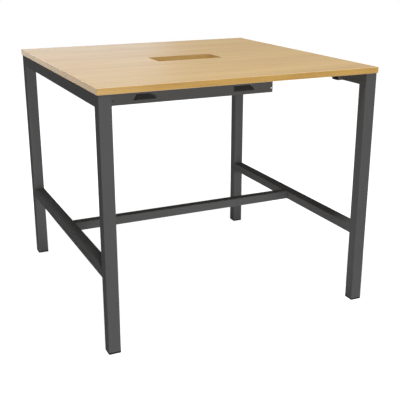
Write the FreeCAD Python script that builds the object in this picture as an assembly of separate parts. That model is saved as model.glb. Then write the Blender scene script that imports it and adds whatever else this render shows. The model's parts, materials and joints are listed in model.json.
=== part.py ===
import FreeCAD, Part
import math
import os

# A standing meeting table: an edged board top with a cable cut-out, on two welded side frames that are
# joined by a low stretcher and two beams under the top, with a cable tray below the cut-out.
#
# Millimetres. X runs from left to right, Y from front to back and Z up. The origin is on the floor,
# under the middle of the table.

Vector = FreeCAD.Vector

# ---- Driving dimensions -------------------------------------------------------------------------------

# Tabletop
table_width = 1200.0             # along X, over the edging
table_depth = 1200.0             # along Y, over the edging
table_height = 1043.0            # floor to working surface, with the feet screwed right in
top_thickness = 25.0
edging_thickness = 2.0
edging_flat = 0.5                # flat land between the board and the rounding of the edging
cutout_length = 306.0            # clear opening along X
cutout_width = 141.0             # clear opening along Y

# Square and flat tube of the frame
frame_wall = 2.0
frame_bend = 2.0                 # inside corner radius of every tube and saddle
side_overhang = 4.0              # tabletop past the frame at left and right
end_overhang = 2.0               # tabletop past the frame at front and back
leg_size = 50.0
top_rail_height = 50.0
lower_rail_width = 50.0
lower_rail_height = 40.0
lower_rail_level = 349.0         # floor to the top of the lower rails and of the stretcher

# Stretcher, and the spigots welded to the lower rails that it slides over
stretcher_width = 40.0
stretcher_height = 40.0
stretcher_end_gap = 0.2          # left at each end so that it can be put in
spigot_length = 60.0
spigot_wall = 2.5
spigot_clearance = 0.3           # all round, inside the stretcher
spigot_screw_pitch = 30.0
spigot_screw_radius = 3.0
spigot_screw_head_radius = 5.5
spigot_screw_crown_radius = 3.5  # flat middle of the domed head
spigot_screw_head_height = 3.3
spigot_screw_rim = 1.2           # straight height of the head at its rim
spigot_screw_socket_flats = 4.0
spigot_screw_socket_depth = 2.0
spigot_screw_past_nut = 2.0
spigot_nut_flats = 10.0
spigot_nut_height = 5.0

# Beams under the top, and the saddles welded to the top rails that carry them
beam_width = 40.0
beam_height = 30.0
beam_inset = 189.0               # front or back face of the frame to the middle of the beam
beam_end_gap = 1.5               # left at each end so that it can be put in
saddle_projection = 22.0         # out from the inner face of the top rail
saddle_plate = 3.0
saddle_clearance = 0.25          # each side of the beam
saddle_drop = 1.0                # top edge of the saddle below the top of the rail
beam_bolt_radius = 4.0
beam_bolt_head_flats = 13.0
beam_bolt_head_height = 5.3
beam_bolt_past_nut = 3.0
beam_nut_height = 8.0
washer_radius = 8.0
washer_thickness = 1.6

# Cable tray, folded from sheet and screwed up under the board
tray_length = 776.0
tray_width = 230.0               # over the two long walls
tray_depth = 142.0               # underside of the board to the underside of the tray
tray_sheet = 1.5
tray_bend = 2.0                  # inside bend radius
tray_flange = 22.0               # out from the wall, against the board
tray_screws_per_flange = 3
tray_screw_margin = 70.0         # end of the tray to the first screw
window_inner = 187.0             # middle of the tray to the upright side of a window
window_foot = 106.0              # window length along its lower side
window_head = 90.0               # window length along its upper side
window_height = 25.0
window_sill = 17.0               # underside of the tray to the lower side of a window
window_corner = 2.0
end_hole_radius = 3.0
end_hole_inset = 6.5             # end of the tray to the hole
end_hole_level = 20.0            # underside of the tray to the hole

# Wood screws: into the board through the rails, the beams and the tray flanges
wood_screw_radius = 2.5
wood_screw_head_radius = 4.75
wood_screw_crown_radius = 2.9    # flat middle of the pan head
wood_screw_head_height = 2.8
wood_screw_rim = 1.4             # straight height of the head at its rim
wood_screw_bite = 18.0           # length in the board
wood_screw_tip = 4.0
pilot_gap = 0.05                 # between a screw and its hole in the board or nut
screw_hole_gap = 0.5             # between a screw or bolt and its hole in steel
beam_screws = 4
beam_screw_margin = 120.0        # end of the beam to its first screw
rail_screws = 3
rail_screw_margin = 150.0        # end of the rail to its first screw
rail_access_radius = 7.0         # hole in the bottom of the rail for the screwdriver

# Levelling feet: a push-in insert with a threaded bush, and a pad moulded on a stud
foot_pad_thickness = 7.0
foot_pad_corner = 3.5            # corner radius in plan
foot_pad_chamfer = 1.0           # round the sole
insert_depth = 26.0
insert_wall = 2.5
insert_floor = 5.0
insert_boss_radius = 10.5
insert_clearance = 0.1           # all round, inside the leg
bush_radius = 7.0
bush_length = 20.0
bush_gap = 0.02                  # between the bush and the insert
stud_radius = 5.0
stud_length = 38.0               # above the pad
stud_running_gap = 0.05          # between the stud and the bush
stud_flange_radius = 12.0
stud_flange_thickness = 3.0
stud_chamfer = 1.0

# ---- Levels and faces worked out from them ------------------------------------------------------------

underside = table_height - top_thickness
frame_x = table_width / 2 - side_overhang             # outer face of the legs and rails
frame_y = table_depth / 2 - end_overhang              # front and back faces of the legs
leg_x = frame_x - leg_size / 2
leg_y = frame_y - leg_size / 2
rail_inner_x = frame_x - leg_size
lower_rail_x = frame_x - lower_rail_width / 2
lower_rail_inner_x = frame_x - lower_rail_width
lower_rail_z = lower_rail_level - lower_rail_height / 2
stretcher_z = lower_rail_level - stretcher_height / 2
beam_y = frame_y - beam_inset
beam_z = underside - beam_height / 2
beam_length = 2 * (rail_inner_x - beam_end_gap)
saddle_width = beam_width + 2 * (saddle_clearance + saddle_plate)
tray_bottom = underside - tray_depth
flange_screw_y = tray_width / 2 + tray_flange / 2
wood_screw_hole = wood_screw_radius + screw_hole_gap

CORNERS = {
    "front_left": (-1, -1),
    "front_right": (1, -1),
    "back_left": (-1, 1),
    "back_right": (1, 1),
}
SIDES = {"left": -1, "right": 1}
ENDS = {"front": -1, "back": 1}

# A section is drawn on local x and y and runs along local z. These turn it into the table's own frame.
UP = FreeCAD.Rotation()
ALONG_X = FreeCAD.Rotation(Vector(0, 1, 0), Vector(0, 0, 1), Vector(1, 0, 0), "XYZ")   # x to Y, y to Z
ALONG_Y = FreeCAD.Rotation(Vector(0, 0, 1), Vector(1, 0, 0), Vector(0, 1, 0), "XYZ")   # x to Z, y to X


# ---- Shapes that repeat -------------------------------------------------------------------------------

def unit(vector):
    """The vector's direction, one unit long."""
    return Vector(vector) / vector.Length


def rounded_path(points, radii, closed=False):
    """Edges along the points, with a tangent arc of the given radius at each turn."""
    count = len(points)
    first, last = (0, count) if closed else (1, count - 1)
    leave = {index: points[index] for index in range(count)}
    arrive = dict(leave)
    arcs = {}
    for index in range(first, last):
        corner = points[index]
        back = unit(points[index - 1] - corner)
        ahead = unit(points[(index + 1) % count] - corner)
        half = back.getAngle(ahead) / 2
        radius = radii[index]
        arrive[index] = corner + back * (radius / math.tan(half))
        leave[index] = corner + ahead * (radius / math.tan(half))
        middle = corner + unit(back + ahead) * (radius / math.sin(half) - radius)
        arcs[index] = Part.Arc(arrive[index], middle, leave[index]).toShape()
    edges = []
    for index in range(count if closed else count - 1):
        following = (index + 1) % count
        edges.append(Part.makeLine(leave[index], arrive[following]))
        if following in arcs:
            edges.append(arcs[following])
    return edges


def rounded_rectangle(width, height, radius):
    """A closed wire on the local origin."""
    corners = [Vector(x * width / 2, y * height / 2) for x, y in ((-1, -1), (1, -1), (1, 1), (-1, 1))]
    return Part.Wire(rounded_path(corners, [radius] * len(corners), closed=True))


def folded_sheet(points, thickness, bend):
    """The cross-section of a folded sheet. The points are its right-hand side, in order."""
    runs = [unit(b - a) for a, b in zip(points, points[1:])]
    lefts = [Vector(-run.y, run.x) * thickness for run in runs]
    inner = [points[0] + lefts[0]]
    radii = [0.0]
    inner_radii = [0.0]
    for index in range(1, len(points) - 1):
        inner.append(points[index] + lefts[index - 1] + lefts[index])
        turns_left = runs[index - 1].cross(runs[index]).z > 0
        radii.append(bend + thickness if turns_left else bend)
        inner_radii.append(bend if turns_left else bend + thickness)
    inner.append(points[-1] + lefts[-1])
    radii.append(0.0)
    inner_radii.append(0.0)
    outer_edges = rounded_path(points, radii)
    inner_edges = rounded_path(inner, inner_radii)
    caps = [Part.makeLine(points[0], inner[0]), Part.makeLine(points[-1], inner[-1])]
    return Part.Wire(Part.__sortEdges__(outer_edges + inner_edges + caps))


def run(wires, length, rotation, start):
    """Extrudes a section, outline first and holes after it, along a direction of the table."""
    face = Part.Face(wires[0])
    for hole in wires[1:]:
        face = face.cut(Part.Face(hole))
    solid = as_solid(face.extrude(Vector(0, 0, length)))
    solid.Placement = FreeCAD.Placement(start, rotation)
    return solid


def tube(width, height, length, rotation, start, wall=frame_wall, bend=frame_bend):
    """Rectangular tube with rounded corners. The start is the middle of its near end."""
    outline = rounded_rectangle(width, height, bend + wall)
    bore = rounded_rectangle(width - 2 * wall, height - 2 * wall, bend)
    return run([outline, bore], length, rotation, start)


def rod(radius, length, start, direction):
    """A cylinder, used as a pin or as the tool that drills a hole."""
    return Part.makeCylinder(radius, length, start, direction)


def drill(shape, tools):
    """The shape less every tool."""
    return shape.cut(Part.makeCompound(tools)) if tools else shape


def as_solid(shape):
    """The one solid of a boolean's result."""
    return shape.Solids[0]


def spread(count, reach):
    """Even places from -reach to reach."""
    return [reach * (2 * index / (count - 1) - 1) for index in range(count)]


def hexagon(flats, height, start, rotation=UP):
    """A hexagonal prism from its size across flats."""
    radius = flats / math.sqrt(3)
    corners = [Vector(radius * math.cos(index * math.pi / 3), radius * math.sin(index * math.pi / 3))
               for index in range(6)]
    return run([Part.makePolygon(corners + corners[:1])], height, rotation, start)


def turned(points):
    """Turns a half outline, given as radius and height, round the Z axis."""
    outline = Part.makePolygon([Vector(radius, 0, height) for radius, height in points + points[:1]])
    return Part.Face(outline).revolve(Vector(0, 0, 0), Vector(0, 0, 1), 360)


def wood_screw(grip, x, y):
    """A pan-head wood screw pointing up, whose head bears this far below the board."""
    length = grip + wood_screw_bite
    screw = turned([(0, -wood_screw_head_height), (wood_screw_crown_radius, -wood_screw_head_height),
                    (wood_screw_head_radius, -wood_screw_rim), (wood_screw_head_radius, 0),
                    (wood_screw_radius, 0), (wood_screw_radius, length - wood_screw_tip), (0, length)])
    screw.translate(Vector(x, y, underside - grip))
    return screw


# ---- Where the screws are -----------------------------------------------------------------------------

beam_screw_places = [(x, end * beam_y)
                     for end in ENDS.values()
                     for x in spread(beam_screws, beam_length / 2 - beam_screw_margin)]
rail_screw_places = [(side * leg_x, y)
                     for side in SIDES.values()
                     for y in spread(rail_screws, frame_y - rail_screw_margin)]
tray_screw_places = [(x, end * flange_screw_y)
                     for end in ENDS.values()
                     for x in spread(tray_screws_per_flange, tray_length / 2 - tray_screw_margin)]


# ---- Tabletop -----------------------------------------------------------------------------------------

def tabletop():
    """The board inside its edging, with the cut-out and the pilot holes of its screws."""
    width = table_width - 2 * edging_thickness
    depth = table_depth - 2 * edging_thickness
    board = Part.makeBox(width, depth, top_thickness, Vector(-width / 2, -depth / 2, underside))
    length = cutout_length + 2 * edging_thickness
    across = cutout_width + 2 * edging_thickness
    opening = Part.makeBox(length, across, top_thickness, Vector(-length / 2, -across / 2, underside))
    pilots = [rod(wood_screw_radius + pilot_gap, wood_screw_bite + pilot_gap, Vector(x, y, underside),
                  Vector(0, 0, 1))
              for x, y in beam_screw_places + rail_screw_places + tray_screw_places]
    return as_solid(drill(board, [opening] + pilots))


def edging(length, rotation, start, outward):
    """A strip on the edge of the board, rounded along its two outer edges."""
    face = outward * edging_thickness
    rounding = edging_thickness - edging_flat
    corners = [Vector(0, 0), Vector(face, 0), Vector(face, top_thickness), Vector(0, top_thickness)]
    arcs = rounded_path(corners, [0, rounding, rounding, 0])
    return run([Part.Wire(arcs + [Part.makeLine(corners[3], corners[0])])], length, rotation, start)


def edging_along_x(length, y, outward):
    """A strip that runs from left to right. Outward is -1 towards the front and 1 towards the back."""
    return edging(length, ALONG_X, Vector(-length / 2, y, underside), outward)


def edging_along_y(length, x, outward):
    """A strip that runs from front to back. Outward is -1 towards the left and 1 towards the right."""
    turned_back = FreeCAD.Rotation(Vector(1, 0, 0), Vector(0, 0, 1), Vector(0, -1, 0), "XYZ")
    return edging(length, turned_back, Vector(x, length / 2, underside), outward)


def outer_edging():
    """Front and back strips run the whole width, and the side strips fit between them."""
    strips = {}
    board_x = table_width / 2 - edging_thickness
    board_y = table_depth / 2 - edging_thickness
    for name, end in ENDS.items():
        strips["edging_" + name] = edging_along_x(table_width, end * board_y, end)
    for name, side in SIDES.items():
        strips["edging_" + name] = edging_along_y(2 * board_y, side * board_x, side)
    return strips


def cutout_edging():
    """Four strips that line the cut-out, facing its middle."""
    length = cutout_length + 2 * edging_thickness
    across = cutout_width
    strips = []
    for end in ENDS.values():
        strips.append(edging_along_x(length, end * (cutout_width / 2 + edging_thickness), -end))
    for side in SIDES.values():
        strips.append(edging_along_y(across, side * (cutout_length / 2 + edging_thickness), -side))
    return Part.makeCompound(strips)


# ---- Side frames --------------------------------------------------------------------------------------

def mitre_cutter(side, end, of_leg):
    """A wedge of the block where a leg and its top rail meet, on the side that the mitre takes off."""
    near, far = side * leg_x - leg_size / 2, end * frame_y
    inner, low = end * (frame_y - leg_size), underside - top_rail_height
    spare = (inner, underside) if of_leg else (far, low)
    corners = [(far, underside), (inner, low), spare, (far, underside)]
    outline = Part.makePolygon([Vector(near, y, z) for y, z in corners])
    return Part.Face(outline).extrude(Vector(leg_size, 0, 0))


def leg(side, end):
    """A square tube from the foot to the underside of the board, mitred for the top rail."""
    post = tube(leg_size, leg_size, underside - foot_pad_thickness, UP,
                Vector(side * leg_x, end * leg_y, foot_pad_thickness))
    return as_solid(post.cut(mitre_cutter(side, end, of_leg=True)))


def top_rail(side):
    """The rail under the board, mitred at both ends, with holes for the screws that hold the board."""
    rail = tube(top_rail_height, leg_size, 2 * frame_y, ALONG_Y,
                Vector(side * leg_x, -frame_y, underside - top_rail_height / 2))
    for end in ENDS.values():
        rail = rail.cut(mitre_cutter(side, end, of_leg=False))
    holes = []
    for x, y in rail_screw_places:
        if x * side > 0:
            bottom = Vector(x, y, underside - top_rail_height)
            holes.append(rod(wood_screw_hole, top_rail_height, bottom, Vector(0, 0, 1)))
            holes.append(rod(rail_access_radius, top_rail_height / 2, bottom, Vector(0, 0, 1)))
    return as_solid(drill(rail, holes))


def lower_rail(side):
    """The rail between the two legs of a side, flush with their outer faces."""
    length = 2 * (frame_y - leg_size)
    return tube(lower_rail_height, lower_rail_width, length, ALONG_Y,
                Vector(side * lower_rail_x, -length / 2, lower_rail_z))


# ---- Stretcher ----------------------------------------------------------------------------------------

def spigot_screw_places():
    """Left and right pairs of screws, along the stretcher's middle line."""
    middle = lower_rail_inner_x - spigot_length / 2
    return [side * (middle + step * spigot_screw_pitch / 2) for side in SIDES.values() for step in (-1, 1)]


def stretcher():
    """The tube between the lower rails, with holes in its underside for the spigot screws."""
    reach = lower_rail_inner_x - stretcher_end_gap
    bar = tube(stretcher_width, stretcher_height, 2 * reach, ALONG_X, Vector(-reach, 0, stretcher_z))
    bottom = lower_rail_level - stretcher_height
    holes = [rod(spigot_screw_radius + screw_hole_gap, stretcher_height / 2, Vector(x, 0, bottom),
                 Vector(0, 0, 1))
             for x in spigot_screw_places()]
    return as_solid(drill(bar, holes))


def spigot_section():
    """Width and height of the spigot tube inside the stretcher."""
    taken = 2 * (frame_wall + spigot_clearance)
    return stretcher_width - taken, stretcher_height - taken


def spigot(side):
    """A short tube welded to the lower rail, which the stretcher slides over."""
    width, height = spigot_section()
    start = lower_rail_inner_x if side < 0 else spigot_length - lower_rail_inner_x
    plug = tube(width, height, spigot_length, ALONG_X, Vector(-start, 0, stretcher_z),
                wall=spigot_wall, bend=frame_bend)
    holes = [rod(spigot_screw_radius + screw_hole_gap, height / 2, Vector(x, 0, stretcher_z - height / 2),
                 Vector(0, 0, 1))
             for x in spigot_screw_places() if x * side > 0]
    return as_solid(drill(plug, holes))


def spigot_nuts():
    """Nuts welded inside the spigots, over the screw holes."""
    height = spigot_section()[1]
    seat = stretcher_z - height / 2 + spigot_wall
    nuts = []
    for x in spigot_screw_places():
        nut = hexagon(spigot_nut_flats, spigot_nut_height, Vector(x, 0, seat))
        bore = rod(spigot_screw_radius + pilot_gap, spigot_nut_height, Vector(x, 0, seat), Vector(0, 0, 1))
        nuts.append(as_solid(nut.cut(bore)))
    return Part.makeCompound(nuts)


def stretcher_screws():
    """Button-head screws from below, through the stretcher and the spigot into the nuts."""
    seat = lower_rail_level - stretcher_height
    length = frame_wall + spigot_clearance + spigot_wall + spigot_nut_height + spigot_screw_past_nut
    height = spigot_screw_head_height
    socket = hexagon(spigot_screw_socket_flats, spigot_screw_socket_depth, Vector(0, 0, -height))
    screws = []
    for x in spigot_screw_places():
        screw = turned([(0, -height), (spigot_screw_crown_radius, -height),
                        (spigot_screw_head_radius, -spigot_screw_rim), (spigot_screw_head_radius, 0),
                        (spigot_screw_radius, 0), (spigot_screw_radius, length), (0, length)])
        screw = as_solid(screw.cut(socket))
        screw.translate(Vector(x, 0, seat))
        screws.append(screw)
    return Part.makeCompound(screws)


# ---- Beams under the top ------------------------------------------------------------------------------

bolt_x = rail_inner_x - saddle_projection / 2


def beam(end):
    """A flat tube against the underside of the board, drilled for its bolts and wood screws."""
    bar = tube(beam_width, beam_height, beam_length, ALONG_X, Vector(-beam_length / 2, end * beam_y, beam_z))
    holes = [rod(wood_screw_hole, beam_height, Vector(x, y, underside - beam_height), Vector(0, 0, 1))
             for x, y in beam_screw_places if y * end > 0]
    holes += [rod(beam_bolt_radius + screw_hole_gap, beam_width,
                  Vector(side * bolt_x, end * beam_y - beam_width / 2, beam_z), Vector(0, 1, 0))
              for side in SIDES.values()]
    return as_solid(drill(bar, holes))


def saddle(side, end):
    """A folded channel welded by its end to the top rail, open at the top to take the beam."""
    half = saddle_width / 2
    height = top_rail_height - saddle_drop
    section = [Vector(-half, height), Vector(-half, 0), Vector(half, 0), Vector(half, height)]
    start = rail_inner_x if side < 0 else saddle_projection - rail_inner_x
    channel = run([folded_sheet(section, saddle_plate, frame_bend)], saddle_projection, ALONG_X,
                  Vector(-start, end * beam_y, underside - top_rail_height))
    hole = rod(beam_bolt_radius + screw_hole_gap, saddle_width,
               Vector(side * bolt_x, end * beam_y - half, beam_z), Vector(0, 1, 0))
    return as_solid(channel.cut(hole))


def beam_fasteners():
    """A bolt, two washers and a locking nut through each saddle, with the nut towards the table's middle."""
    half = saddle_width / 2
    bolts, washers, nuts = [], [], []
    for side, end in CORNERS.values():
        inward = Vector(0, -end, 0)
        turn = FreeCAD.Rotation(Vector(0, 0, 1), inward)
        centre = Vector(side * bolt_x, end * beam_y, beam_z)
        head_seat = centre - inward * (half + washer_thickness)
        nut_seat = centre + inward * (half + washer_thickness)
        length = saddle_width + 2 * washer_thickness + beam_nut_height + beam_bolt_past_nut
        shank = rod(beam_bolt_radius, length, head_seat, inward)
        head = hexagon(beam_bolt_head_flats, beam_bolt_head_height,
                       head_seat - inward * beam_bolt_head_height, turn)
        bolts.append(as_solid(shank.fuse(head).removeSplitter()))
        for seat in (head_seat, nut_seat - inward * washer_thickness):
            ring = rod(washer_radius, washer_thickness, seat, inward)
            bore = rod(beam_bolt_radius + screw_hole_gap, washer_thickness, seat, inward)
            washers.append(as_solid(ring.cut(bore)))
        nut = hexagon(beam_bolt_head_flats, beam_nut_height, nut_seat, turn)
        thread = rod(beam_bolt_radius + pilot_gap, beam_nut_height, nut_seat, inward)
        nuts.append(as_solid(nut.cut(thread)))
    return {
        "beam_bolts": Part.makeCompound(bolts),
        "beam_washers": Part.makeCompound(washers),
        "beam_nuts": Part.makeCompound(nuts),
    }


# ---- Cable tray ---------------------------------------------------------------------------------------

def window_cutter(side):
    """The trapezoid window, upright towards the tray's middle and sloping towards its end."""
    low = tray_bottom + window_sill
    high = low + window_height
    corners = [(window_inner, low), (window_inner + window_foot, low),
               (window_inner + window_head, high), (window_inner, high)]
    points = [Vector(side * x, -tray_width, z) for x, z in corners]
    outline = Part.Wire(rounded_path(points, [window_corner] * len(points), closed=True))
    return Part.Face(outline).extrude(Vector(0, 2 * tray_width, 0))


def cable_tray():
    """A channel with a flange along the top of each wall, two windows in each wall and open ends."""
    wall = tray_width / 2
    tip = wall + tray_flange
    top = tray_depth - tray_sheet
    section = [Vector(-tip, top), Vector(-wall, top), Vector(-wall, 0),
               Vector(wall, 0), Vector(wall, top), Vector(tip, top)]
    tray = run([folded_sheet(section, tray_sheet, tray_bend)], tray_length, ALONG_X,
               Vector(-tray_length / 2, 0, tray_bottom))
    tools = [window_cutter(side) for side in SIDES.values()]
    for side in SIDES.values():
        hole = Vector(side * (tray_length / 2 - end_hole_inset), -tray_width, tray_bottom + end_hole_level)
        tools.append(rod(end_hole_radius, 2 * tray_width, hole, Vector(0, 1, 0)))
    for x, y in tray_screw_places:
        tools.append(rod(wood_screw_hole, tray_sheet, Vector(x, y, underside - tray_sheet), Vector(0, 0, 1)))
    return as_solid(drill(tray, tools))


# ---- Levelling feet -----------------------------------------------------------------------------------

def leg_insert(side, end):
    """A square plastic cup pushed into the leg, with a boss for the threaded bush."""
    size = leg_size - 2 * (frame_wall + insert_clearance)
    centre = Vector(side * leg_x, end * leg_y, foot_pad_thickness)
    block = run([rounded_rectangle(size, size, frame_bend)], insert_depth, UP, centre)
    hollow = run([rounded_rectangle(size - 2 * insert_wall, size - 2 * insert_wall, frame_bend)],
                 insert_depth - insert_floor, UP, centre + Vector(0, 0, insert_floor))
    boss = rod(insert_boss_radius, insert_depth, centre, Vector(0, 0, 1))
    bore = rod(bush_radius + bush_gap, insert_depth, centre, Vector(0, 0, 1))
    return as_solid(block.cut(hollow).fuse(boss).cut(bore).removeSplitter())


def insert_bushes():
    """A threaded steel bush in each insert."""
    bushes = []
    for side, end in CORNERS.values():
        centre = Vector(side * leg_x, end * leg_y, foot_pad_thickness)
        sleeve = rod(bush_radius, bush_length, centre, Vector(0, 0, 1))
        thread = rod(stud_radius + stud_running_gap, bush_length, centre, Vector(0, 0, 1))
        bushes.append(as_solid(sleeve.cut(thread)))
    return Part.makeCompound(bushes)


def foot_pad(side, end):
    """A square pad as wide as the leg, chamfered round the sole, with a seat for the stud's flange."""
    centre = Vector(side * leg_x, end * leg_y, 0)
    high = rounded_rectangle(leg_size, leg_size, foot_pad_corner)
    high.translate(Vector(0, 0, foot_pad_chamfer))
    waist = run([rounded_rectangle(leg_size, leg_size, foot_pad_corner)],
                foot_pad_thickness - foot_pad_chamfer, UP, centre + Vector(0, 0, foot_pad_chamfer))
    sole_size = leg_size - 2 * foot_pad_chamfer
    low = rounded_rectangle(sole_size, sole_size, foot_pad_corner - foot_pad_chamfer)
    sole = Part.makeLoft([low, high], True, True)
    sole.translate(centre)
    seat = rod(stud_flange_radius + bush_gap, stud_flange_thickness,
               centre + Vector(0, 0, foot_pad_thickness - stud_flange_thickness), Vector(0, 0, 1))
    return as_solid(waist.fuse(sole).removeSplitter().cut(seat))


def foot_stud(side, end):
    """A threaded stud on a round flange, set in the top of the pad."""
    base = foot_pad_thickness - stud_flange_thickness
    top = foot_pad_thickness + stud_length
    stud = turned([(0, base), (stud_flange_radius, base), (stud_flange_radius, foot_pad_thickness),
                   (stud_radius, foot_pad_thickness), (stud_radius, top - stud_chamfer),
                   (stud_radius - stud_chamfer, top), (0, top)])
    stud.translate(Vector(side * leg_x, end * leg_y, 0))
    return stud


# ---- Assembly -----------------------------------------------------------------------------------------

def build():
    """Every node by name."""
    nodes = {"tabletop": tabletop(), "cutout_edging": cutout_edging()}
    nodes.update(outer_edging())
    for name, (side, end) in CORNERS.items():
        nodes["leg_" + name] = leg(side, end)
        nodes["leg_insert_" + name] = leg_insert(side, end)
        nodes["foot_pad_" + name] = foot_pad(side, end)
        nodes["foot_stud_" + name] = foot_stud(side, end)
        nodes["saddle_" + name] = saddle(side, end)
    for name, side in SIDES.items():
        nodes["top_rail_" + name] = top_rail(side)
        nodes["lower_rail_" + name] = lower_rail(side)
        nodes["spigot_" + name] = spigot(side)
    for name, end in ENDS.items():
        nodes["beam_" + name] = beam(end)
    nodes["stretcher"] = stretcher()
    nodes["spigot_nuts"] = spigot_nuts()
    nodes["stretcher_screws"] = stretcher_screws()
    nodes.update(beam_fasteners())
    nodes["cable_tray"] = cable_tray()
    nodes["insert_bushes"] = insert_bushes()
    nodes["beam_screws"] = Part.makeCompound([wood_screw(beam_height, x, y) for x, y in beam_screw_places])
    nodes["rail_screws"] = Part.makeCompound([wood_screw(frame_wall, x, y) for x, y in rail_screw_places])
    nodes["tray_screws"] = Part.makeCompound([wood_screw(tray_sheet, x, y) for x, y in tray_screw_places])
    return nodes


os.makedirs("parts", exist_ok=True)
for node, shape in build().items():
    shape.exportStep("parts/" + node + ".step")
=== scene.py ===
import json
import math

import bmesh
import bpy
from mathutils import Matrix, Vector

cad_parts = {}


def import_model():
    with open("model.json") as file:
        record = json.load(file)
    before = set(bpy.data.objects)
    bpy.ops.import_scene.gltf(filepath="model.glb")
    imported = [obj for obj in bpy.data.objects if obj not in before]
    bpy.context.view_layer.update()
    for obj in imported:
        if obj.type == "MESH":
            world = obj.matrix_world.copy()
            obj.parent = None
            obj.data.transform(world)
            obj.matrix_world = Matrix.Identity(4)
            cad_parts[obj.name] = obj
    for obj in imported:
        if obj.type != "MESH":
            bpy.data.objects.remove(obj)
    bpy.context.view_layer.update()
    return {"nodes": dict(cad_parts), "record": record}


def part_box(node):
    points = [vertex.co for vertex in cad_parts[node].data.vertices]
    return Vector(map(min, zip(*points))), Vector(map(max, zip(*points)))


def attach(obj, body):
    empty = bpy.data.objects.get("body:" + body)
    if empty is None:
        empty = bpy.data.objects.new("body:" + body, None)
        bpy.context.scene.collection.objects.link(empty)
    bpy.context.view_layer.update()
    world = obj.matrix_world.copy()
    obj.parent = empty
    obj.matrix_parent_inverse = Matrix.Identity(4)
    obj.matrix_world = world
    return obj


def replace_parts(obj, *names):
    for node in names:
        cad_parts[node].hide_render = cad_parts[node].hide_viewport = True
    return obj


# A standing meeting table: oak board top with a cable cut-out, graphite steel frame and a folded cable tray.
# The construction comes packed as the frame. This script gives every piece its finish, makes the small
# threaded and welded pieces in detail, and sets the floor, the lights and the camera.
# Metres; +X right, +Y back, +Z up.

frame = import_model()
nodes = frame["nodes"]

CORNERS = ("front_left", "front_right", "back_left", "back_right")
SIDES = ("left", "right")
MM = 0.001

# ---- Colours, linear -----------------------------------------------------------------------------------

OAK = {"light": (0.605, 0.395, 0.130), "dark": (0.500, 0.300, 0.085), "pore": (0.340, 0.190, 0.050)}
EDGE_OAK = {"light": (0.545, 0.322, 0.072), "dark": (0.420, 0.230, 0.040), "pore": (0.270, 0.145, 0.028)}
# The side strips are the same edging as the front and back, written paler and warmer: painted light, standing
# in for the light and sheen they show at a low angle.
SIDE_OAK_PAINTED_LIGHT = {"light": (0.820, 0.480, 0.110), "dark": (0.640, 0.350, 0.060), "pore": (0.430, 0.230, 0.050)}
# The cut-out's lining is the same edging too, written paler: painted light that makes up for the shade inside
# the cut-out.
LINING_OAK_PAINTED_LIGHT = {"light": (0.700, 0.440, 0.160), "dark": (0.570, 0.335, 0.105), "pore": (0.380, 0.210, 0.060)}
# A pale oak that the rounded edges of the strips are mixed towards: a painted highlight.
ARRIS_HIGHLIGHT_OAK = (0.860, 0.700, 0.480)
GRAPHITE = (0.094, 0.094, 0.094)
GRAPHITE_DARK = (0.082, 0.082, 0.082)
BLACK = (0.004, 0.004, 0.004)
BLACK_WORN = (0.008, 0.008, 0.008)
ZINC = (0.600, 0.610, 0.625)
ZINC_DULL = (0.450, 0.455, 0.450)
WHITE = (1.0, 1.0, 1.0)
SHEEN_TINT = (0.52, 0.70, 1.00)
FILL_TINT = (0.82, 0.92, 1.00)
FLOOR_GREY = (0.60, 0.60, 0.60)
STUDIO_LEVEL = 0.20                # strength of the world's own light


# ---- Node trees ----------------------------------------------------------------------------------------

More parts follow.
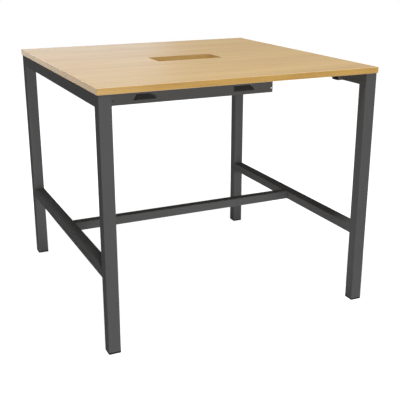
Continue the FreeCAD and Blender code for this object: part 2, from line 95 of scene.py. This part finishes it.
class Tree:
    """A node tree, with short calls for the nodes that the finishes, the floor and the studio share."""

    def __init__(self, owner):
        owner.use_nodes = True
        self.owner = owner
        self.nodes = owner.node_tree.nodes
        self.links = owner.node_tree.links

    def add(self, kind, inputs=None, **settings):
        """A node with its settings and its inputs, each a value or another node's output."""
        node = self.nodes.new(kind)
        for key, value in settings.items():
            setattr(node, key, value)
        for key, value in (inputs or {}).items():
            self.feed(node.inputs[key], value)
        return node

    def feed(self, socket, value):
        """Sets a socket to a value, or joins it to another node's output."""
        if isinstance(value, bpy.types.NodeSocket):
            self.links.new(value, socket)
        elif socket.type == "RGBA":
            socket.default_value = (*value, 1.0)
        else:
            socket.default_value = value

    def place(self):
        """The object's own coordinates, which are the frame's, in metres."""
        return self.add("ShaderNodeTexCoord").outputs["Object"]

    def noise(self, scale, detail=2.0, roughness=0.5, distortion=0.0, offset=(0.0, 0.0, 0.0)):
        """Noise with this many waves to the metre along each axis."""
        stretched = self.add("ShaderNodeMapping", {
            "Vector": self.place(), "Scale": scale, "Location": offset})
        return self.add("ShaderNodeTexNoise", {
            "Vector": stretched.outputs["Vector"], "Scale": 1.0, "Detail": detail,
            "Roughness": roughness, "Distortion": distortion}).outputs["Fac"]

    def remap(self, value, span, to=(0.0, 1.0)):
        """Stretches a span of the value to another span, and clamps it there."""
        return self.add("ShaderNodeMapRange", {
            "Value": value, "From Min": span[0], "From Max": span[1], "To Min": to[0],
            "To Max": to[1]}).outputs["Result"]

    def maths(self, operation, first, second=0.0):
        """The result of one operation on one or two values."""
        return self.add("ShaderNodeMath", {0: first, 1: second}, operation=operation).outputs[0]

    def total(self, *values):
        """The values added up."""
        result = values[0]
        for value in values[1:]:
            result = self.maths("ADD", result, value)
        return result

    def mix(self, share, first, second):
        """One colour turning into another as the share goes from 0 to 1."""
        node = self.add("ShaderNodeMixRGB", {"Fac": share, "Color1": first, "Color2": second})
        return node.outputs["Color"]

    def seen(self):
        """1 for what the camera, a reflection or a view through glass sees, 0 for what lights a surface."""
        ray = self.add("ShaderNodeLightPath").outputs
        mirrored = self.maths("MAXIMUM", ray["Is Camera Ray"], ray["Is Glossy Ray"])
        return self.maths("MAXIMUM", mirrored, ray["Is Transmission Ray"])

    def surface(self, relief, depth, **inputs):
        """Sets the shader's sockets, and a relief this deep in metres where its height is one."""
        shader = self.nodes["Principled BSDF"]
        bump = self.add("ShaderNodeBump", {"Height": relief, "Distance": depth, "Strength": 1.0})
        self.feed(shader.inputs["Normal"], bump.outputs["Normal"])
        for key, value in inputs.items():
            self.feed(shader.inputs[key.replace("_", " ")], value)
        return self.owner


# ---- Finishes ------------------------------------------------------------------------------------------
# A noise keeps mostly to the middle of 0 to 1, so a finish stretches one of these spans of it.

NOISE_CORE = (0.30, 0.70)
NOISE_MOST = (0.25, 0.75)
NOISE_WIDE = (0.20, 0.80)

BOARD_GLOSS = (0.43, 0.53)         # lowest and highest roughness of the lacquer
EDGING_GLOSS = (0.20, 0.28)
BOARD_BAND = 0.900                 # length of the slow bands in the grain
EDGING_BAND = 0.240
EDGING_ROUNDED = 1.6 * MM          # height of the rounded part at each edge of a strip, with its painted highlight and rougher rubbing


def even(waves):
    """The same number of waves to the metre along every axis."""
    return (waves, waves, waves)


def oak(name, tones, along, gloss, band, arris=None):
    """Lacquered oak decor: slow bands, growth lines, fibres and pores, all drawn out along the grain.

    The gloss is the lacquer's lowest and highest roughness, and the band the length of the slow bands. An
    arris is (height of the strip's middle, half its flat): beyond it the rounded edge gets a painted
    highlight, mixed paler, and is made rougher as if rubbed.
    """
    even_tone = 0.5                    # half way from light to dark, and the swings go to both sides of it
    band_swing = 0.36
    line_swing = 0.46
    fibre_swing = 0.22
    pore_peaks = (0.62, 0.72)          # only the tops of their noise are pores
    pore_share = 0.45
    fibre_relief = 0.4
    relief_depth = 0.06 * MM
    arris_fade = 0.8 * MM                # from the flat to where the painted highlight and the rubbing are full
    highlight_share = 0.45
    rub_duller = 0.25
    tree = Tree(bpy.data.materials.new(name))

    def grain(across, length, offset=(0.0, 0.0, 0.0), **settings):
        """Noise with waves this wide across the grain and this long with it, moved by an offset."""
        scale = [1 / across] * 3
        scale["XY".index(along)] = 1 / length
        return tree.noise(tuple(scale), offset=offset, **settings)

    bands = grain(across=0.110, length=band, detail=2.0, distortion=0.3)
    lines = grain(
        across=0.014, length=0.450, offset=(3.1, 1.7, 0.4), detail=3.0, roughness=0.6, distortion=0.4)
    fibres = grain(across=0.0022, length=0.060, offset=(7.3, 2.9, 5.1), detail=3.0, roughness=0.7)
    pores = grain(across=0.0009, length=0.014, offset=(1.9, 8.3, 2.2), detail=1.0)
    tone = tree.total(
        even_tone,
        tree.remap(bands, NOISE_CORE, (-band_swing, band_swing)),
        tree.remap(lines, NOISE_CORE, (-line_swing, line_swing)),
        tree.remap(fibres, NOISE_MOST, (-fibre_swing, fibre_swing)))
    pored = tree.remap(pores, pore_peaks, (0.0, pore_share))
    colour = tree.mix(pored, tree.mix(tone, tones["light"], tones["dark"]), tones["pore"])
    sheen = tree.remap(fibres, NOISE_WIDE, gloss)
    if arris:
        middle, flat = arris
        height = tree.add("ShaderNodeSeparateXYZ", {"Vector": tree.place()}).outputs["Z"]
        beyond = tree.maths("ABSOLUTE", tree.maths("SUBTRACT", height, middle))
        arris_highlight_and_rub = tree.remap(beyond, (flat, flat + arris_fade))
        # Beyond the flat the rounded edge is mixed towards a pale oak, a painted highlight where light would
        # catch it, and made rougher.
        colour = tree.mix(tree.maths("MULTIPLY", arris_highlight_and_rub, highlight_share), colour, ARRIS_HIGHLIGHT_OAK)
        sheen = tree.maths("ADD", sheen, tree.maths("MULTIPLY", arris_highlight_and_rub, rub_duller))
    relief = tree.maths("SUBTRACT", tree.remap(fibres, NOISE_WIDE, (0.0, fibre_relief)), pored)
    return tree.surface(relief, relief_depth, Base_Color=colour, Roughness=sheen, Specular_IOR_Level=0.5)


def powder_coat(name):
    """Fine-textured graphite powder coat on steel."""
    cloud_share = 0.4                  # of the way to the dark tone
    peel_share = 0.6
    ripple_relief = 0.6                # of the peel's own relief
    relief_depth = 0.04 * MM
    tree = Tree(bpy.data.materials.new(name))
    cloud = tree.noise(even(3.0), detail=2.0)
    peel = tree.noise(even(1100.0), detail=2.0, roughness=0.6)
    ripple = tree.noise(even(160.0), detail=1.0)
    tone = tree.total(
        tree.remap(cloud, NOISE_CORE, (0.0, cloud_share)),
        tree.remap(peel, NOISE_CORE, (0.0, peel_share)))
    relief = tree.total(peel, tree.maths("MULTIPLY", ripple, ripple_relief))
    return tree.surface(
        relief, relief_depth, Base_Color=tree.mix(tone, GRAPHITE, GRAPHITE_DARK),
        Roughness=tree.remap(peel, NOISE_CORE, (0.70, 0.82)), Specular_IOR_Level=0.01)


def moulded_plastic(name):
    """Black plastic with a spark-eroded mould texture, scuffed paler in places."""
    scuffed = (0.45, 0.75)             # span of the noise over which the scuffs come up
    scuff_share = 0.7
    relief_depth = 0.04 * MM
    tree = Tree(bpy.data.materials.new(name))
    spark = tree.noise(even(1400.0), detail=2.0, roughness=0.7)
    scuff = tree.noise((60.0, 60.0, 220.0), detail=3.0)
    colour = tree.mix(tree.remap(scuff, scuffed, (0.0, scuff_share)), BLACK, BLACK_WORN)
    return tree.surface(
        spark, relief_depth, Base_Color=colour, Roughness=tree.remap(scuff, NOISE_CORE, (0.55, 0.70)),
        Specular_IOR_Level=0.03)


def zinc_plate(name):
    """Bright zinc plate with the faint clouding of the bath."""
    relief_depth = 0.01 * MM
    tree = Tree(bpy.data.materials.new(name))
    cloud = tree.noise(even(90.0), detail=3.0)
    fine = tree.noise(even(2200.0), detail=1.0)
    return tree.surface(
        fine, relief_depth, Base_Color=tree.mix(tree.remap(cloud, NOISE_CORE), ZINC, ZINC_DULL),
        Roughness=tree.remap(cloud, NOISE_CORE, (0.28, 0.46)), Metallic=1.0)


def finishes():
    """Each finish by name; the edging's arris, with its painted highlight, is set from the board's own top
    and underside.
    """
    bottom, top = (corner.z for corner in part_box("edging_front"))
    arris = ((bottom + top) / 2, (top - bottom) / 2 - EDGING_ROUNDED)
    return {
        "oak_board": oak("oak_board", OAK, "X", BOARD_GLOSS, BOARD_BAND),
        "oak_edging_ends": oak("oak_edging_ends", EDGE_OAK, "X", EDGING_GLOSS, EDGING_BAND, arris),
        "oak_edging_cutout_painted_light": oak("oak_edging_cutout_painted_light", LINING_OAK_PAINTED_LIGHT, "X", EDGING_GLOSS, EDGING_BAND, arris),
        "oak_edging_sides_painted_light": oak("oak_edging_sides_painted_light", SIDE_OAK_PAINTED_LIGHT, "Y", EDGING_GLOSS, EDGING_BAND, arris),
        "graphite_steel": powder_coat("graphite_steel"),
        "black_plastic": moulded_plastic("black_plastic"),
        "zinc_steel": zinc_plate("zinc_steel"),
    }


FINISH = finishes()
EDGING_FINISH = {
    "edging_front": "oak_edging_ends", "edging_back": "oak_edging_ends", "cutout_edging": "oak_edging_cutout_painted_light",
    "edging_left": "oak_edging_sides_painted_light", "edging_right": "oak_edging_sides_painted_light",
}


def dress_nodes():
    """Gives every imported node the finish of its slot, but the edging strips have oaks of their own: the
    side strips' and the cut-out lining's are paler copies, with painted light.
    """
    slots = {row["node"]: row["material_slot"] for row in frame["record"]["subparts"]}
    for name, node in nodes.items():
        for slot in node.material_slots:
            slot.material = FINISH[EDGING_FINISH.get(name, slots[name])]


# ---- Skins over rings ----------------------------------------------------------------------------------
# A turned, threaded or hexagonal piece is a stack of levels up its own Z axis. A level is a radius and a
# height, and each is a number or a function of the angle.

THREAD_ROWS = 5                    # levels to each turn of a thread
BEVEL_SLOPE = math.tan(math.radians(30))
SHARP_ANGLE = math.radians(32)     # an edge that turns by more than this stays sharp
TINY = 1e-6                        # keeps a division off zero


def around(count):
    """Even angles round a full turn."""
    return [2 * math.pi * index / count for index in range(count)]


def at_angle(value, angle):
    """A level's radius or height at this angle."""
    return value(angle) if callable(value) else value


def skin(levels, angles, loop=False):
    """A closed surface over the levels, capped at both ends, or joined end to end round a bore."""
    shape = bmesh.new()
    rings = []
    for radius, height in levels:
        ring = []
        for angle in angles:
            out = at_angle(radius, angle)
            ring.append(shape.verts.new(
                (out * math.cos(angle), out * math.sin(angle), at_angle(height, angle))))
        rings.append(ring)
    if loop:
        rings.append(rings[0])
    else:
        shape.faces.new(rings[0])
        shape.faces.new(rings[-1])
    for low, high in zip(rings, rings[1:]):
        for index in range(len(angles)):
            after = (index + 1) % len(angles)
            shape.faces.new((low[index], low[after], high[after], high[index]))
    bmesh.ops.recalc_face_normals(shape, faces=shape.faces)
    return shape


def hexagon(flats):
    """The radius of a hexagon of this size across flats, at each angle."""
    def radius(angle):
        return flats / 2 / math.cos(angle % (math.pi / 3) - math.pi / 6)
    return radius


def cross(width, length):
    """The radius, at each angle, of a cross recess with wings this wide and this long from its middle."""
    def radius(angle):
        off_wing = (angle + math.pi / 4) % (math.pi / 2) - math.pi / 4
        return min(length, width / 2 / max(abs(math.sin(off_wing)), TINY))
    return radius


def bevel(radius, flat, height, rise):
    """The height, at each angle, at which a 30 degree bevel that starts at the flat's radius meets a hexagon.

    It goes up from its height for a rise of 1, and down for a rise of -1.
    """
    def level(angle):
        return height + rise * (radius(angle) - flat) * BEVEL_SLOPE
    return level


def thread(radius, depth, pitch, start, end):
    """The levels of a right-hand thread with its crest at the radius."""
    def groove(height):
        def at(angle):
            turn = (height / pitch - angle / (2 * math.pi)) % 1.0
            return radius - depth * abs(2 * turn - 1)
        return at
    count = round((end - start) / pitch * THREAD_ROWS)
    heights = [start + (end - start) * index / count for index in range(count + 1)]
    return [(groove(height), height) for height in heights]


def finish_piece(name, shape, body, slot):
    """Turns a bmesh into a smooth piece with sharp edges, which rides on a body."""
    mesh = bpy.data.meshes.new(name)
    shape.to_mesh(mesh)
    shape.free()
    mesh.shade_smooth()
    mesh.set_sharp_from_angle(angle=SHARP_ANGLE)
    mesh.materials.append(FINISH[slot])
    piece = bpy.data.objects.new(name, mesh)
    bpy.context.scene.collection.objects.link(piece)
    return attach(piece, body)


# ---- Fasteners -----------------------------------------------------------------------------------------

HEX_ANGLES = around(24)
ROUND_ANGLES = around(32)

# The beam bolts and their nuts: a hexagon with a flat crown inside its bevel
HEX_FLATS = 13.0 * MM
HEX_OUTLINE = hexagon(HEX_FLATS)
HEX_CROWN = 0.93 * HEX_FLATS / 2

# A cross recess: its mouth, its smaller floor, and angles that follow its wings' ends and the head between
CROSS_WIDTH = 1.2 * MM
CROSS_LENGTH = 2.4 * MM
CROSS_FLOOR_WIDTH = 0.7 * MM
CROSS_FLOOR_LENGTH = 1.2 * MM
CROSS_DEPTH = 1.7 * MM
WING_END = math.asin(CROSS_WIDTH / 2 / CROSS_LENGTH)
WING_ANGLES = [math.radians(-45), math.radians(-35), math.radians(-25), -WING_END,
               0.0, WING_END, math.radians(25), math.radians(35)]
CROSS_ANGLES = [wing * math.pi / 2 + angle for wing in range(4) for angle in WING_ANGLES]

# Heads from the crown to the seat, each point a radius and a height in millimetres
PAN_HEAD = ((2.9, 0.0), (3.8, 0.25), (4.45, 0.8), (4.75, 1.5), (4.75, 2.6), (4.6, 2.8))
BUTTON_HEAD = ((3.5, 0.0), (4.4, 0.5), (5.1, 1.2), (5.5, 2.1), (5.5, 3.1), (5.3, 3.3))


def solids(name):
    """The lowest and highest corners of each separate solid of a node."""
    same_point = 0.001 * MM
    shape = bmesh.new()
    shape.from_mesh(nodes[name].data)
    bmesh.ops.remove_doubles(shape, verts=shape.verts, dist=same_point)
    waiting = set(shape.verts)
    boxes = []
    for first in shape.verts:
        if first not in waiting:
            continue
        waiting.remove(first)
        found = [first]
        for vert in found:
            for edge in vert.link_edges:
                other = edge.other_vert(vert)
                if other in waiting:
                    waiting.remove(other)
                    found.append(other)
        low = Vector([min(vert.co[axis] for vert in found) for axis in range(3)])
        high = Vector([max(vert.co[axis] for vert in found) for axis in range(3)])
        boxes.append((low, high))
    shape.free()
    return boxes


def upright(low, high):
    """On the middle of a box's underside, with Z up."""
    return Matrix.Translation(((low.x + high.x) / 2, (low.y + high.y) / 2, low.z))


def inward(low, high):
    """On the outer end of a box that lies along Y, with Z towards the middle of the table."""
    middle = (low + high) / 2
    end = 1 if middle.y > 0 else -1
    start = high.y if end > 0 else low.y
    return Matrix.Translation((middle.x, start, middle.z)) @ Matrix.Rotation(end * math.pi / 2, 4, "X")


def replace_all(node, shape, place, body="table"):
    """Puts the shape where each solid of the node is, as one piece that stands for the node."""
    single = bpy.data.meshes.new("single")
    shape.to_mesh(single)
    shape.free()
    joined = bmesh.new()
    for low, high in solids(node):
        matrix = place(low, high)
        single.transform(matrix)
        joined.from_mesh(single)
        single.transform(matrix.inverted())
    bpy.data.meshes.remove(single)
    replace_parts(finish_piece(node + ".detail", joined, body, "zinc_steel"), node)


def length_of(node, along="Z"):
    """How long one solid of the node is along this axis."""
    axis = "XYZ".index(along)
    low, high = solids(node)[0]
    return high[axis] - low[axis]


def head_levels(profile):
    """The levels of a screw's head, in metres."""
    return [(radius * MM, height * MM) for radius, height in profile]


def beam_bolts():
    """Hexagon bolts through the beams' ends and their saddles."""
    head = 5.3 * MM
    radius = 4.0 * MM
    depth = 0.7 * MM
    pitch = 1.25 * MM
    thread_length = 25.0 * MM          # from the bolt's end
    run_in = 1.0 * MM                  # from the plain shank to the thread
    chamfer = 1.2 * MM
    chamfer_in = 1.0 * MM
    length = length_of("beam_bolts", along="Y")
    levels = [(HEX_CROWN, 0.0), (HEX_OUTLINE, bevel(HEX_OUTLINE, HEX_CROWN, 0.0, 1)), (HEX_OUTLINE, head),
              (radius, head), (radius, length - thread_length - run_in)]
    levels += thread(radius, depth, pitch, length - thread_length, length - chamfer)
    levels += [(radius - chamfer_in, length)]
    replace_all("beam_bolts", skin(levels, HEX_ANGLES), inward)


def beam_nuts():
    """Locking nuts: a bevelled hexagon, and a round collar over it."""
    height = 8.0 * MM
    hex_height = 5.6 * MM
    collar = 5.7 * MM                  # the collar's radius
    collar_start = 0.2 * MM            # above the hexagon
    collar_edge = 0.8 * MM
    bore = 3.9 * MM                    # a little inside the bolt's crests
    levels = [(bore, 0.0), (HEX_CROWN, 0.0), (HEX_OUTLINE, bevel(HEX_OUTLINE, HEX_CROWN, 0.0, 1)),
              (HEX_OUTLINE, bevel(HEX_OUTLINE, HEX_CROWN, hex_height, -1)), (HEX_CROWN, hex_height),
              (collar, hex_height + collar_start), (collar, height - collar_edge),
              (collar - collar_edge, height), (bore, height)]
    replace_all("beam_nuts", skin(levels, HEX_ANGLES, loop=True), inward)


def beam_washers():
    """Flat washers with bevelled rims, under the bolts' heads and their nuts."""
    bore = 4.3 * MM
    rim = 8.0 * MM
    thick = 1.6 * MM
    edge = 0.2 * MM
    levels = [(bore, 0.0), (rim - edge, 0.0), (rim, edge), (rim, thick - edge), (rim - edge, thick),
              (bore, thick)]
    replace_all("beam_washers", skin(levels, ROUND_ANGLES, loop=True), inward)


def wood_screws(node):
    """Pan-head screws with a cross recess, and a coarse thread to a gimlet point."""
    shank = 2.5 * MM
    depth = 0.75 * MM
    pitch = 2.6 * MM
    thread_length = 17.0 * MM          # from the screw's tip
    run_in = 1.0 * MM                  # from the plain shank to the thread
    point = 4.0 * MM
    tip = 0.2 * MM                     # the tip's radius
    recess_floor = cross(CROSS_FLOOR_WIDTH, CROSS_FLOOR_LENGTH)
    recess = cross(CROSS_WIDTH, CROSS_LENGTH)
    length = length_of(node)
    head = head_levels(PAN_HEAD)
    seat = head[-1][1]
    levels = [(recess_floor, CROSS_DEPTH), (recess, 0.0)]
    levels += head
    levels += [(shank, seat), (shank, length - thread_length - run_in)]
    levels += thread(shank, depth, pitch, length - thread_length, length - point)
    levels += [(tip, length)]
    replace_all(node, skin(levels, CROSS_ANGLES), upright)


def stretcher_screws():
    """Button-head screws with a hexagon socket."""
    radius = 3.0 * MM
    depth = 0.55 * MM
    pitch = 1.0 * MM
    thread_start = 5.5 * MM            # from the head's crown
    run_in = 0.5 * MM                  # from the plain shank to the thread
    chamfer = 0.8 * MM
    chamfer_in = 0.7 * MM
    socket = hexagon(4.0 * MM)
    socket_depth = 2.0 * MM
    length = length_of("stretcher_screws")
    head = head_levels(BUTTON_HEAD)
    seat = head[-1][1]
    levels = [(socket, socket_depth), (socket, 0.0)]
    levels += head
    levels += [(radius, seat), (radius, thread_start - run_in)]
    levels += thread(radius, depth, pitch, thread_start, length - chamfer)
    levels += [(radius - chamfer_in, length)]
    replace_all("stretcher_screws", skin(levels, HEX_ANGLES), upright)


def foot_studs():
    """The threaded stud of each levelling foot, on its round flange."""
    flange = 12.0 * MM                 # the flange's radius
    thick = 3.0 * MM
    edge = 0.3 * MM
    radius = 5.0 * MM
    depth = 0.9 * MM
    pitch = 1.5 * MM
    thread_start = 1.0 * MM            # above the flange
    run_in = 0.5 * MM                  # from the plain shank to the thread
    chamfer = 1.2 * MM
    chamfer_in = 1.0 * MM
    for corner in CORNERS:
        node = "foot_stud_" + corner
        length = length_of(node)
        levels = [(flange - edge, 0.0), (flange, edge), (flange, thick - edge), (flange - edge, thick),
                  (radius, thick), (radius, thick + thread_start - run_in)]
        levels += thread(radius, depth, pitch, thick + thread_start, length - chamfer)
        levels += [(radius - chamfer_in, length)]
        replace_all(node, skin(levels, ROUND_ANGLES), upright, "foot_" + corner)


# ---- Weld beads ----------------------------------------------------------------------------------------

TUBE_CORNER = 4.0 * MM             # outer corner radius of the frame's tubes


def bead(shape, start, end, first, second):
    """A rippled weld along a line, between the tips of two vectors that lie on the two welded faces."""
    step = 0.8 * MM                    # from ring to ring
    ripple = 2.4 * MM                  # from ripple to ripple
    ripple_swell = 0.35                # of the bulge
    bulge_share = 0.18                 # of the vectors' mean length
    sunk = 0.15                        # how far the root lies inside the metal, as a share of the vectors
    arc = 7                            # faces across the bead
    end_size = 0.45                    # of the full size, at both ends
    end_taper = 2.5 * MM               # length over which a bead would grow by its full size
    start, end, first, second = Vector(start), Vector(end), Vector(first), Vector(second)
    out = (first + second).normalized()
    bulge = bulge_share * (first.length + second.length) / 2
    length = (end - start).length
    count = round(length / step)
    rings = []
    for index in range(count + 1):
        along = length * index / count
        taper = min(1.0, end_size + min(along, length - along) / end_taper)
        swell = 1.0 + ripple_swell * math.sin(2 * math.pi * along / ripple)
        root = start.lerp(end, index / count)
        ring = [shape.verts.new(root - sunk * taper * (first + second))]
        for part in range(arc + 1):
            share = part / arc
            on_chord = first.lerp(second, share)
            lift = bulge * math.sin(math.pi * share) * swell
            ring.append(shape.verts.new(root + taper * (on_chord + out * lift)))
        rings.append(ring)
    for near, far in zip(rings, rings[1:]):
        for index in range(len(near)):
            after = (index + 1) % len(near)
            shape.faces.new((near[index], near[after], far[after], far[index]))
    shape.faces.new(rings[0])
    shape.faces.new(rings[-1])


def finish_welds(name, shape):
    """Turns the beads in a bmesh into one painted piece on the table."""
    bmesh.ops.recalc_face_normals(shape, faces=shape.faces)
    finish_piece(name, shape, "table", "graphite_steel")


def frame_welds():
    """Welds of the lower rails and top rails to the legs, dressed thin on the faces that show."""
    leg = 3.5 * MM                     # of each bead across a rail's top or underside

    # An upright bead fills the groove between a rail's side and the leg's rounded corner
    root_in = 0.60 * TUBE_CORNER       # from the rail's side in to the bead's root
    root_past = 0.10 * TUBE_CORNER     # from the rail's end on to the root
    on_rail = 0.20 * TUBE_CORNER       # from the root back to the bead's edge on the rail
    on_leg = 0.75 * TUBE_CORNER        # from the root on to its edge on the leg
    leg_out = 0.58 * TUBE_CORNER       # from the root out to that edge

    shape = bmesh.new()
    for side in SIDES:
        rail_low, rail_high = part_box("lower_rail_" + side)
        top_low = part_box("top_rail_" + side)[0]
        near, far = rail_low.x + TUBE_CORNER, rail_high.x - TUBE_CORNER
        for end, y in ((-1, rail_low.y), (1, rail_high.y)):
            along = (0.0, -end * leg, 0.0)
            bead(shape, (near, y, rail_high.z), (far, y, rail_high.z), along, (0.0, 0.0, leg))
            bead(shape, (near, y, rail_low.z), (far, y, rail_low.z), along, (0.0, 0.0, -leg))
            bead(shape, (near, y, top_low.z), (far, y, top_low.z), along, (0.0, 0.0, -leg))
            for out, x in ((-1, rail_low.x), (1, rail_high.x)):
                root = (x - out * root_in, y + end * root_past)
                low = (*root, rail_low.z + TUBE_CORNER)
                high = (*root, rail_high.z - TUBE_CORNER)
                to_rail = (out * root_in, -end * on_rail, 0.0)
                to_leg = (out * leg_out, end * on_leg, 0.0)
                bead(shape, low, high, to_rail, to_leg)
    finish_welds("frame_welds", shape)


def saddle_welds():
    """Upright welds on both sides of each saddle, where its end meets the top rail."""
    leg = 2.5 * MM
    from_bottom = 4.0 * MM             # the bead starts this far up, near the end of the saddle's bend
    from_top = 2.0 * MM
    shape = bmesh.new()
    for corner in CORNERS:
        low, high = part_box("saddle_" + corner)
        outward = -1 if low.x < 0 else 1
        x = low.x if outward < 0 else high.x
        for turn, y in ((-1, low.y), (1, high.y)):
            bead(shape, (x, y, low.z + from_bottom), (x, y, high.z - from_top),
                 (-outward * leg, 0.0, 0.0), (0.0, turn * leg, 0.0))
    finish_welds("saddle_welds", shape)


# ---- Floor, lights and camera --------------------------------------------------------------------------

def floor():
    """A pale floor that looks white where no shadow falls, and ends before the glare round the far lamps."""
    reach = 9.0                        # from the table's middle to each edge
    mesh = bpy.data.meshes.new("floor")
    corners = [(x * reach, y * reach, 0.0) for x, y in ((-1, -1), (1, -1), (1, 1), (-1, 1))]
    mesh.from_pydata(corners, [], [(0, 1, 2, 3)])
    plane = bpy.data.objects.new("floor", mesh)
    bpy.context.scene.collection.objects.link(plane)
    tree = Tree(bpy.data.materials.new("floor"))
    tree.nodes.remove(tree.nodes["Principled BSDF"])
    diffuse = tree.add("ShaderNodeBsdfDiffuse", {"Color": FLOOR_GREY})
    to_white = 1.0 - FLOOR_GREY[0] * STUDIO_LEVEL
    glow = tree.add("ShaderNodeEmission", {"Strength": tree.maths("MULTIPLY", tree.seen(), to_white)})
    both = tree.add("ShaderNodeAddShader", {0: diffuse.outputs[0], 1: glow.outputs[0]})
    tree.feed(tree.nodes["Material Output"].inputs["Surface"], both.outputs[0])
    mesh.materials.append(tree.owner)


def world():
    """Even studio light from all round, seen as white."""
    tree = Tree(bpy.data.worlds.new("studio"))
    bpy.context.scene.world = tree.owner
    background = tree.nodes["Background"]
    tree.feed(background.inputs["Color"], WHITE)
    tree.feed(background.inputs["Strength"], tree.remap(tree.seen(), (0.0, 1.0), (STUDIO_LEVEL, 1.0)))


def softbox(name, place, aim, width, height, power, tint=WHITE):
    """A rectangular lamp that the camera doesn't see."""
    lamp = bpy.data.lights.new(name, "AREA")
    lamp.shape = "RECTANGLE"
    lamp.size = width
    lamp.size_y = height
    lamp.energy = power
    lamp.color = tint
    box = bpy.data.objects.new(name, lamp)
    bpy.context.scene.collection.objects.link(box)
    box.location = place
    box.rotation_euler = (Vector(aim) - Vector(place)).to_track_quat("-Z", "Y").to_euler()
    box.visible_camera = False


def studio_lights():
    """Far low lamps round the frame, one over the top, one behind that it reflects, and a reflector below."""
    middle = (0.0, 0.0, 0.5)
    top = (0.0, 0.0, 1.0)
    far = 15.0                         # from the table's middle to each low lamp
    slant = 10.6                       # about that far, shared between X and Y
    low = 0.5                          # the low lamps' height
    wide, tall = 6.0, 1.0
    softbox("front", (0.0, -far, low), middle, wide, tall, power=1045.0)
    softbox("front_left", (-slant, -slant, low), middle, wide, tall, power=360.0)
    softbox("right", (far, 0.0, low), middle, wide, tall, power=890.0)
    softbox("back", (0.0, far, low), middle, wide, tall, power=780.0)
    softbox("over", (-0.65, -1.5, 5.3), top, width=0.3, height=1.0, power=154.5)
    softbox("behind_left", (0.6, 4.5, 1.70), (-0.2, 0.3, 1.0), width=2.2, height=1.1, power=23.0,
            tint=SHEEN_TINT)
    softbox("reflector", (0.0, 0.0, 0.02), top, width=1.0, height=1.0, power=4.3)


def tray_lights():
    """Two weak lamps in the tray, where the others don't reach: one for its inside, one for the cut-out."""
    tray_low, tray_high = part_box("cable_tray")
    right = 0.10                       # the first lamp stands this far right of the middle
    under_board = tray_high.z - 8 * MM
    in_tray = tray_low.z + 74 * MM
    overhead = 2.0                     # the second lamp shines straight up
    softbox("tray", (right, 0.0, under_board), (right, 0.0, 0.0), width=0.74, height=0.20, power=0.18,
            tint=FILL_TINT)
    softbox("cutout", (0.0, 0.0, in_tray), (0.0, 0.0, overhead), width=0.30, height=0.08, power=0.15)


def camera():
    """The photograph's viewpoint: a little above the top, turned to the left front leg."""
    frame_px = 400
    focal_px = 745.8
    turn_right = math.radians(25.04)
    look_down = math.radians(18.45)
    data = bpy.data.cameras.new("camera")
    data.sensor_width = 36.0
    data.lens = focal_px * data.sensor_width / frame_px
    data.clip_end = 200.0
    eye = bpy.data.objects.new("camera", data)
    bpy.context.scene.collection.objects.link(eye)
    eye.location = (-1.3606, -3.0695, 1.4921)
    eye.rotation_euler = (math.pi / 2 - look_down, 0.0, -turn_right)
    bpy.context.scene.camera = eye


dress_nodes()
beam_bolts()
beam_nuts()
beam_washers()
wood_screws("beam_screws")
wood_screws("rail_screws")
wood_screws("tray_screws")
stretcher_screws()
foot_studs()
frame_welds()
saddle_welds()
floor()
world()
studio_lights()
tray_lights()
camera()
bpy.context.scene.view_settings.view_transform = "Standard"
